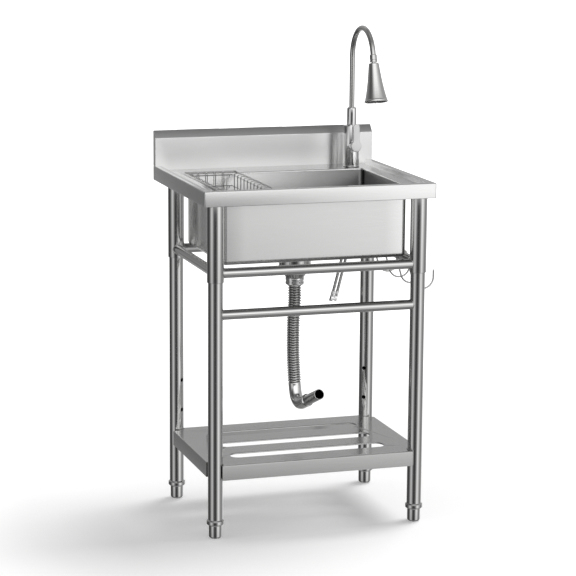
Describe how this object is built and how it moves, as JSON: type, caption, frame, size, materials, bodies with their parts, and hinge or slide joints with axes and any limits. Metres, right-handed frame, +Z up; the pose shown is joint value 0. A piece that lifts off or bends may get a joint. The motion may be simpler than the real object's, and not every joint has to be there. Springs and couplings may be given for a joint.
{
  "type": "utility sink",
  "caption": "Free-standing stainless steel utility sink with a deep bowl, backsplash, swivelling tap, drain hose, shelf and adjustable feet.",
  "frame": {"origin": "floor level, centre of the rectangle of the four feet", "axes": "+Z up, +Y towards the backsplash and the wall, +X to the right seen from the front"},
  "size_m": [0.6203, 0.52, 1.2445],
  "materials": {
    "sheet_steel": "brushed stainless sheet",
    "tube_steel": "polished stainless tube",
    "bright_steel": "bright stainless",
    "chrome": "polished chrome",
    "screw_steel": "dull steel",
    "brass": "plain brass",
    "black_rubber": "matte",
    "black_plastic": "satin",
    "white_plastic": "satin"
  },
  "bodies": {
    "frame": {"deck": "sheet_steel", "bowl": "sheet_steel", "backsplash": "sheet_steel", "backsplash_left_end": "sheet_steel", "backsplash_right_end": "sheet_steel", "knife_holder_left": "sheet_steel", "knife_holder_middle": "sheet_steel", "knife_holder_right": "sheet_steel", "socket_front_left": "tube_steel", "socket_front_right": "tube_steel", "socket_rear_left": "tube_steel", "socket_rear_right": "tube_steel", "rail_front_upper": "tube_steel", "rail_rear_upper": "tube_steel", "rail_left_upper": "tube_steel", "rail_right_upper": "tube_steel", "rail_front_lower": "tube_steel", "socket_grub_screws": "screw_steel", "leg_front_left": "tube_steel", "leg_front_right": "tube_steel", "leg_rear_left": "tube_steel", "leg_rear_right": "tube_steel", "collar_front_left": "tube_steel", "collar_front_right": "tube_steel", "collar_rear_left": "tube_steel", "collar_rear_right": "tube_steel", "shelf": "sheet_steel", "shelf_bolts": "screw_steel", "drain_flange": "bright_steel", "drain_gasket": "black_rubber", "drain_lock_nut": "black_plastic", "drain_tail_nut": "chrome", "drain_hose": "chrome", "drain_cuff": "chrome", "tap_seal": "black_rubber", "tap_body": "chrome", "tap_washer": "screw_steel", "tap_mounting_nut": "brass", "tap_cartridge": "white_plastic", "tap_neck_collar": "chrome", "supply_hoses": "bright_steel", "supply_nuts": "bright_steel"},
    "spout": {"tap_spout": "chrome", "tap_spout_nut": "chrome"},
    "spray_swivel": {"spray_ball": "chrome"},
    "spray": {"spray_head": "chrome", "spray_face": "black_plastic"},
    "lever_hub": {"tap_lever_hub": "chrome"},
    "lever": {"tap_lever": "chrome"},
    "strainer": {"drain_strainer": "bright_steel"},
    "basket": {"wire_basket": "bright_steel"},
    "foot_front_left": {"foot_front_left": "tube_steel"},
    "foot_front_right": {"foot_front_right": "tube_steel"},
    "foot_rear_left": {"foot_rear_left": "tube_steel"},
    "foot_rear_right": {"foot_rear_right": "tube_steel"},
    "hook_1": {"hook_1": "bright_steel"},
    "hook_2": {"hook_2": "bright_steel"},
    "hook_3": {"hook_3": "bright_steel"},
    "hook_4": {"hook_4": "bright_steel"}
  },
  "joints": [
    {"name": "spout_swivel", "type": "hinge", "parent": "frame", "child": "spout", "pos_m": [0.219, 0.2, 0.9765], "axis": [0, 0, 1], "range_deg": [-180, 180]},
    {"name": "spray_spin", "type": "hinge", "parent": "spout", "child": "spray_swivel", "pos_m": [0.219, 0.03288, 1.14478], "axis": [0, -0.2334, -0.9724], "range_deg": [-180, 180]},
    {"name": "spray_tilt", "type": "hinge", "parent": "spray_swivel", "child": "spray", "pos_m": [0.219, 0.03288, 1.14478], "axis": [1, 0, 0], "range_deg": [-12, 12]},
    {"name": "lever_turn", "type": "hinge", "parent": "frame", "child": "lever_hub", "pos_m": [0.219, 0.1737, 0.924], "axis": [0, -1, 0], "range_deg": [-45, 45]},
    {"name": "lever_lift", "type": "hinge", "parent": "lever_hub", "child": "lever", "pos_m": [0.219, 0.167, 0.9095], "axis": [1, 0, 0], "range_deg": [0, 20]},
    {"name": "strainer_lift", "type": "slide", "parent": "frame", "child": "strainer", "axis": [0, 0, 1], "range_m": [0, 0.08]},
    {"name": "basket_lift", "type": "slide", "parent": "frame", "child": "basket", "axis": [0, 0, 1], "range_m": [0, 0.12]},
    {"name": "foot_front_left_screw", "type": "slide", "parent": "frame", "child": "foot_front_left", "axis": [0, 0, -1], "range_m": [0, 0.02]},
    {"name": "foot_front_right_screw", "type": "slide", "parent": "frame", "child": "foot_front_right", "axis": [0, 0, -1], "range_m": [0, 0.02]},
    {"name": "foot_rear_left_screw", "type": "slide", "parent": "frame", "child": "foot_rear_left", "axis": [0, 0, -1], "range_m": [0, 0.02]},
    {"name": "foot_rear_right_screw", "type": "slide", "parent": "frame", "child": "foot_rear_right", "axis": [0, 0, -1], "range_m": [0, 0.02]},
    {"name": "hook_1_swing", "type": "hinge", "parent": "frame", "child": "hook_1", "pos_m": [0.264, -0.157, 0.67], "axis": [0, 1, 0], "range_deg": [-25, 25]},
    {"name": "hook_2_swing", "type": "hinge", "parent": "frame", "child": "hook_2", "pos_m": [0.264, -0.072, 0.67], "axis": [0, 1, 0], "range_deg": [-25, 25]},
    {"name": "hook_3_swing", "type": "hinge", "parent": "frame", "child": "hook_3", "pos_m": [0.264, 0.013, 0.67], "axis": [0, 1, 0], "range_deg": [-25, 25]},
    {"name": "hook_4_swing", "type": "hinge", "parent": "frame", "child": "hook_4", "pos_m": [0.264, 0.098, 0.67], "axis": [0, 1, 0], "range_deg": [-25, 25]}
  ]
}
